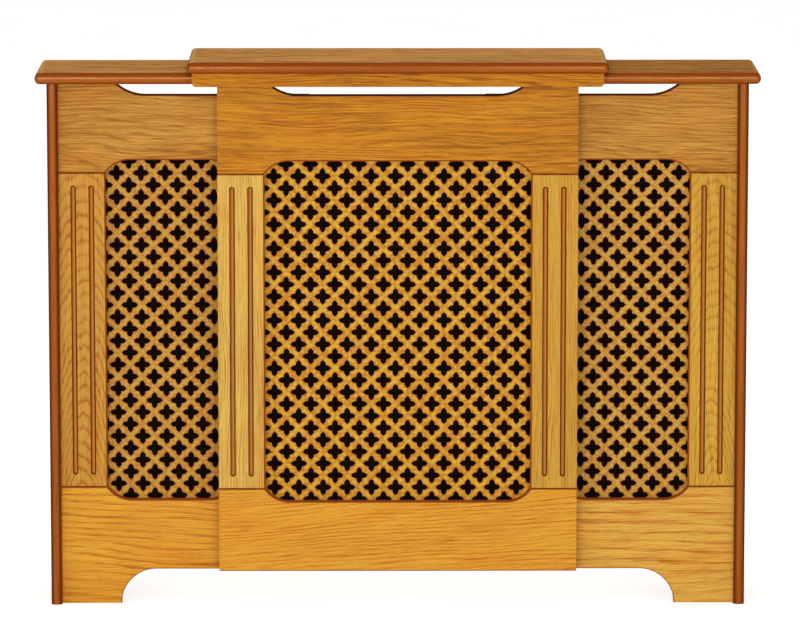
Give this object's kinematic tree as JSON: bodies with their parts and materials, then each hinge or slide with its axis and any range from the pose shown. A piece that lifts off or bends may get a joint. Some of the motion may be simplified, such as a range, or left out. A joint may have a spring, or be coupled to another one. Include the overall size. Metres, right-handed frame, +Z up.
{
  "type": "radiator cover cabinet",
  "caption": "Adjustable-width oak radiator cover: a centre unit with shelf and pierced grille, and side units that slide out from under it.",
  "frame": {"origin": "floor level, midway across the width at rest and midway between the wall and the nose of the centre shelf", "axes": "+X to the viewer's right along the width, +Y back to the wall, +Z up"},
  "size_m": [1.176, 0.225, 0.9],
  "materials": {
    "oak_veneer": "satin lacquer",
    "stained_lipping": "satin lacquer over reddish-brown stain",
    "pierced_board": "satin lacquer",
    "black_gauze": "matt woven",
    "felt": "matt felt",
    "softwood": "planed",
    "zinc_steel": "zinc plated"
  },
  "bodies": {
    "centre": {"centre_shelf": "oak_veneer", "centre_shelf_front_lipping": "stained_lipping", "centre_shelf_left_lipping": "stained_lipping", "centre_shelf_right_lipping": "stained_lipping", "centre_fascia": "oak_veneer", "front_felt_strip": "felt", "rear_felt_strip": "felt", "centre_top_rail": "oak_veneer", "centre_bottom_rail": "oak_veneer", "centre_left_stile": "oak_veneer", "centre_right_stile": "oak_veneer", "centre_grille": "pierced_board", "centre_gauze": "black_gauze", "upper_guide_bar": "softwood", "lower_guide_bar": "softwood", "upper_spacer_block": "softwood", "lower_spacer_block": "softwood", "guide_screws": "zinc_steel", "left_tie_plate": "zinc_steel", "right_tie_plate": "zinc_steel", "tie_plate_screws": "zinc_steel"},
    "left": {"left_shelf": "oak_veneer", "left_shelf_front_lipping": "stained_lipping", "left_shelf_end_lipping": "stained_lipping", "left_end_panel": "oak_veneer", "left_end_panel_lipping": "stained_lipping", "left_top_rail": "oak_veneer", "left_bottom_rail": "oak_veneer", "left_inner_stile": "oak_veneer", "left_outer_stile": "oak_veneer", "left_grille": "pierced_board", "left_gauze": "black_gauze", "left_corner_batten": "softwood", "left_shelf_cleat": "softwood", "left_wall_bracket": "zinc_steel", "left_bracket_screws": "zinc_steel"},
    "right": {"right_shelf": "oak_veneer", "right_shelf_front_lipping": "stained_lipping", "right_shelf_end_lipping": "stained_lipping", "right_end_panel": "oak_veneer", "right_end_panel_lipping": "stained_lipping", "right_top_rail": "oak_veneer", "right_bottom_rail": "oak_veneer", "right_inner_stile": "oak_veneer", "right_outer_stile": "oak_veneer", "right_grille": "pierced_board", "right_gauze": "black_gauze", "right_corner_batten": "softwood", "right_shelf_cleat": "softwood", "right_wall_bracket": "zinc_steel", "right_bracket_screws": "zinc_steel"}
  },
  "joints": [
    {"name": "left_slide", "type": "slide", "parent": "centre", "child": "left", "axis": [-1, 0, 0], "range_m": [-0.083, 0.1]},
    {"name": "right_slide", "type": "slide", "parent": "centre", "child": "right", "axis": [1, 0, 0], "range_m": [-0.083, 0.1]}
  ]
}
